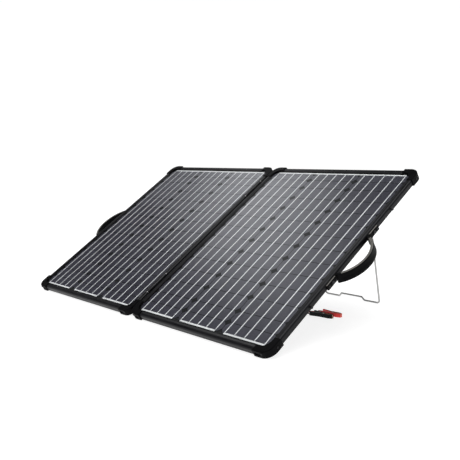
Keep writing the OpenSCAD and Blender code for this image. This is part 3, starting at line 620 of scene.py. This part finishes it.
def crossing_loop():
    """The slack loop of lead that crosses the fold.
    """
    sides = 16
    line = through([
        on_panel(*p) for p in (
            (22, CROSSING_V, CROSSING_W), (23, 462, -11.5), (18, 456, -25.5), (8, 453, -37.5),
            (-8, 453, -37.5), (-18, 456, -25.5), (-23, 462, -11.5), (-22, CROSSING_V, CROSSING_W),
        )
    ])
    across = panel_way(0, 1, 0)
    loop = tube_mesh("crossing_loop", line, PANEL_LEAD_D / 2 * MM, sides, across, "black_cable")
    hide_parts("crossing_lead")
    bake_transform(loop)


crossing_loop()

# ---------- flat details ----------


def segment_digit(x, y, lit):
    """One seven-segment digit; lit names its segments, a to g from the top round to the middle."""
    height, width, stroke, lean = 15, 8.6, 1.5, 0.1
    left, right = stroke / 2, width - stroke / 2
    low, middle, high = stroke / 2, height / 2, height - stroke / 2
    ends = {
        "a": ((left, high), (right, high)), "b": ((right, middle), (right, high)),
        "c": ((right, low), (right, middle)), "d": ((left, low), (right, low)),
        "e": ((left, low), (left, middle)), "f": ((left, middle), (left, high)),
        "g": ((left, middle), (right, middle)),
    }
    gap, half = 0.15, stroke / 2
    loops = []
    for name in lit:
        (x0, y0), (x1, y1) = ends[name]
        if y0 == y1:
            outline = [
                (x0 + gap, y0), (x0 + gap + half, y0 - half), (x1 - gap - half, y0 - half),
                (x1 - gap, y0), (x1 - gap - half, y0 + half), (x0 + gap + half, y0 + half),
            ]
        else:
            outline = [
                (x0, y0 + gap), (x0 + half, y0 + gap + half), (x0 + half, y1 - gap - half),
                (x0, y1 - gap), (x0 - half, y1 - gap - half), (x0 - half, y0 + gap + half),
            ]
        loops.append([(x + px + lean * py, y + py) for px, py in outline])
    return loops


def battery_icon(x, y, width, height, fill):
    """A battery outline with two posts; fill is the share of it that is shown full."""
    post = width * 0.18
    loops = [box(x, y, width, height)]
    if fill < 1:
        inner = 0.7
        loops.append(box(x + inner, y + inner, width - 2 * inner, height - 2 * inner))
        if fill > 0:
            loops.append(box(
                x + 2 * inner, y + 2 * inner, width - 4 * inner, (height - 4 * inner) * fill,
            ))
    for px in (x + width * 0.2, x + width * 0.8 - post):
        loops.append(box(px, y + height + 0.2, post, height * 0.16))
    return loops


def sun_icon(x, y, r):
    """A disc with eight short rays."""
    near, half, rays = r * 0.72, r * 0.07, 8
    loops = [circle(x, y, r * 0.55, 24)]
    for k in range(rays):
        a = 2 * math.pi * k / rays
        c, s = math.cos(a), math.sin(a)
        loops.append([
            (x + near * c - half * s, y + near * s + half * c),
            (x + r * c - half * s, y + r * s + half * c),
            (x + r * c + half * s, y + r * s - half * c),
            (x + near * c + half * s, y + near * s - half * c),
        ])
    return loops


# The controller's face, in millimetres from its middle, and heights out from the back sheet.
FACE_Z = 25
LCD_Z = 24.4
BUTTON_Z = 26.8
LCD = (-27, 6.5, 52, 27)
BUTTONS = {"select_button": (42, 29), "enter_button": (42, 11.5)}
LAMPS = [(-26.5 + 13.8 * i, -4) for i in range(6)]
INK = 0.1


def screen():
    """The display's digits, symbols, surround and window."""
    x, y, width, height = LCD
    point = circle(x + 33, y + 3.8, 0.75, 16)
    digits = (
        segment_digit(x + 12, y + 3, "bc") + segment_digit(x + 22.5, y + 3, "abged")
        + segment_digit(x + 34.5, y + 3, "abcdefg") + [point]
    )
    flat("screen_digits", digits, INK, controller_matrix(LCD_Z), "lcd_ink", "right_panel")

    symbols = sun_icon(x + 5.5, y + 16.5, 2.9) + battery_icon(x + 2.8, y + 5.5, 5.4, 4.2, 0.5)
    for k in range(9):
        symbols.append(box(x + 2.5 + 5.3 * k, y + height - 4.8, 4.2 - 1.2 * (k % 2), 2.4))
    symbols += [
        box(x + 47, y + 11.5, 0.8, 3), box(x + 48.8, y + 11.5, 0.8, 3),
        box(x + 47, y + 14, 2.6, 0.7),
    ]
    symbols += [circle(x + 48.3, y + 6.5, r, 16) for r in (1.2, 0.6)]
    flat("screen_symbols", symbols, INK, controller_matrix(LCD_Z), "lcd_ink", "right_panel")

    rim, overlap, gap = 1.4, 0.1, 0.2
    surround = [
        round_box(x - rim, y - rim, width + 2 * rim, height + 2 * rim, 1.2),
        box(x + overlap, y + overlap, width - 2 * overlap, height - 2 * overlap),
    ]
    flat(
        "screen_surround", surround, 0.3, controller_matrix(FACE_Z), "black_plastic",
        "right_panel", edge=0.08,
    )
    window = box(x + gap, y + gap, width - 2 * gap, height - 2 * gap)
    flat(
        "screen_window", [window], 0.3, controller_matrix(LCD_Z + 0.25), "clear_window",
        "right_panel",
    )


def face_marks():
    """The pale signs printed under the lamps and round the terminals."""
    marks = []
    sign_width, sign_height = 6.8, 4.6
    for i, (x, y) in enumerate(LAMPS):
        left, low = x - 3.4, y - 9.5
        if i in (0, len(LAMPS) - 1):
            marks += battery_icon(left, low, sign_width, sign_height, 1)
        elif i == 1:
            marks += battery_icon(left, low, sign_width, sign_height, 0)
        else:
            right, rise = left + sign_width, 1.2 * i
            marks.append([(left, low), (right, low), (right, low + 1 + rise), (left, low + 0.6)])
    line = 0.5
    for x, width in ((-26.5, 47), (29.5, 14)):
        marks += [
            round_box(x, -45, width, 14, 3),
            round_box(x + line, -45 + line, width - 2 * line, 14 - 2 * line, 2.6),
        ]
    for x in (-15, 7.5, 36.5):
        marks += [
            box(x - 4.6, -37, 9.2, line), box(x - 4.6, -41, line, 4), box(x + 4.1, -41, line, 4),
        ]
        marks += [
            box(x - 5.4, -43, 2, line), box(x + 3.4, -43, 2, line),
            box(x + 4.15, -43.75, line, 2),
        ]
    marks += sun_icon(-15, -34, 2.2)
    marks += battery_icon(5, -35.8, 5, 2.8, 1)
    marks += [circle(36.5, -33.6, 1.7, 20), box(35.7, -36.2, 1.6, 0.8)]
    flat("face_marks", marks, 0.08, controller_matrix(FACE_Z), "face_print", "right_panel")


def button_marks():
    """The ring and arrow printed on each button, riding with it."""
    for name, (x, y) in BUTTONS.items():
        ring = [circle(x, y, r, 40) for r in (5.6, 5.2)]
        if name == "select_button":
            icon = [
                [(x - 2.2, y + 0.5), (x + 2.2, y + 0.5), (x, y + 3)],
                [(x - 2.2, y - 0.5), (x, y - 3), (x + 2.2, y - 0.5)],
            ]
        else:
            icon = [[
                (x - 3, y), (x - 0.8, y - 2), (x - 0.8, y - 0.4), (x + 2.4, y - 0.4),
                (x + 2.4, y + 2.4), (x + 1.6, y + 2.4), (x + 1.6, y + 0.4), (x - 0.8, y + 0.4),
                (x - 0.8, y + 2),
            ]]
        flat(name + "_mark", ring + icon, INK, controller_matrix(BUTTON_Z), "face_print", name)


def mirrored(loops):
    """The same outlines on the other side of the fold line."""
    return [[(-x, y) for x, y in loop] for loop in loops]


def both_sides(name, loops, thickness, w, slot, edge):
    """The same flat piece on the right panel and, mirrored, on the left one."""
    flat(name + "_right", loops, thickness, panel_matrix(w), slot, "right_panel", edge)
    flat(name + "_left", mirrored(loops), thickness, panel_matrix(w), slot, "left_panel", edge)


def arc_band(x, y, inner, outer, sweep):
    """A bent band between two radii, sweep degrees to each side of the way out."""
    steps = 40
    angles = [math.radians(-sweep + 2 * sweep * k / steps) for k in range(steps + 1)]
    far = [(x + outer * math.cos(a), y + outer * math.sin(a)) for a in angles]
    near = [(x + inner * math.cos(a), y + inner * math.sin(a)) for a in reversed(angles)]
    return far + near


def painted_handle_highlights():
    """Painted highlight: pale grey lines on the top of each handle's band and pads, where light
    catches their top edges.
    """
    arch_u, arch_sweep, arch_line = 468.8, 53, 1.5
    pad_u, pad_reach, pad_line, pad_length = 505.4, 91.5, 3, 34
    loops = [
        arc_band(arch_u, HANDLE_V, r, r + arch_line, arch_sweep) for r in (74.9, 77.0, 79.1)
    ]
    loops += [
        box(pad_u, HANDLE_V + side * pad_reach - pad_length / 2, pad_line, pad_length)
        for side in (-1, 1)
    ]
    both_sides("painted_handle_highlight", loops, thickness=0.25, w=13, slot="handle_highlight_grey", edge=0.05)


def glass_seals():
    """The bead of sealant between the frame's lip and the glass."""
    loops = [
        round_box(FRAME_U + i, FRAME_V + i, FRAME_WIDTH - 2 * i, FRAME_LENGTH - 2 * i, 3)
        for i in (14.1, 15.4)
    ]
    both_sides("glass_seal", loops, thickness=0.5, w=FRAME_DEPTH, slot="rubber_seal", edge=0.12)


screen()
face_marks()
button_marks()
painted_handle_highlights()
glass_seals()

# ---------- floor and light ----------


def area_light(name, place, target, size, energy):
    """A flat rectangular light at place, facing target."""
    data = bpy.data.lights.new(name, "AREA")
    data.shape = "RECTANGLE"
    data.size, data.size_y = size
    data.energy = energy
    lamp = bpy.data.objects.new(name, data)
    lamp.location = place
    way = Vector(target) - Vector(place)
    lamp.rotation_euler = way.to_track_quat("-Z", "Y").to_euler()
    bpy.context.scene.collection.objects.link(lamp)


def floor():
    reach, below = 14, 0.0002
    mesh = bpy.data.meshes.new("floor")
    mesh.from_pydata(
        [(-reach, -reach, 0), (reach, -reach, 0), (reach, reach, 0), (-reach, reach, 0)],
        [], [(0, 1, 2, 3)],
    )
    made = bpy.data.objects.new("floor", mesh)
    made.location.z = -below
    bpy.context.scene.collection.objects.link(made)
    material, _, shader = new_material("floor_white")
    shader.inputs["Base Color"].default_value = (0.35, 0.35, 0.35, 1)
    shader.inputs["Emission Color"].default_value = (1, 1, 1, 1)
    shader.inputs["Emission Strength"].default_value = 0.85
    shader.inputs["Roughness"].default_value = 0.9
    mesh.materials.append(material)


def studio_world():
    """White round the horizon and dimmer overhead, so that the glass isn't washed out."""
    world = bpy.data.worlds.new("studio")
    world.use_nodes = True
    tree = world.node_tree
    coords = tree.nodes.new("ShaderNodeTexCoord")
    split = tree.nodes.new("ShaderNodeSeparateXYZ")
    tree.links.new(coords.outputs["Generated"], split.inputs["Vector"])
    colours = ramp(
        tree, split.outputs["Z"], low=0.22, high=0.36,
        at_low=(1.02, 1.02, 1.02), at_high=(0.045, 0.045, 0.05),
    )
    tree.links.new(colours.outputs["Color"], tree.nodes["Background"].inputs["Color"])
    bpy.context.scene.world = world


def sun_light(name, way, energy, softness):
    """A distant light that shines along way, softness degrees wide."""
    data = bpy.data.lights.new(name, "SUN")
    data.energy = energy
    data.angle = math.radians(softness)
    lamp = bpy.data.objects.new(name, data)
    lamp.rotation_euler = Vector(way).to_track_quat("-Z", "Y").to_euler()
    bpy.context.scene.collection.objects.link(lamp)


floor()
studio_world()
sun_light("overhead", (-0.1, 0.2, -1), energy=2.7, softness=60)
# the light that the glass reflects as a pale glare, as in the photo
area_light("glare", place=(-1.72, 0.58, 2.02), target=(0, 0.1, 0.22), size=(1.0, 0.7), energy=5.2)
bpy.context.scene.view_settings.view_transform = "Standard"
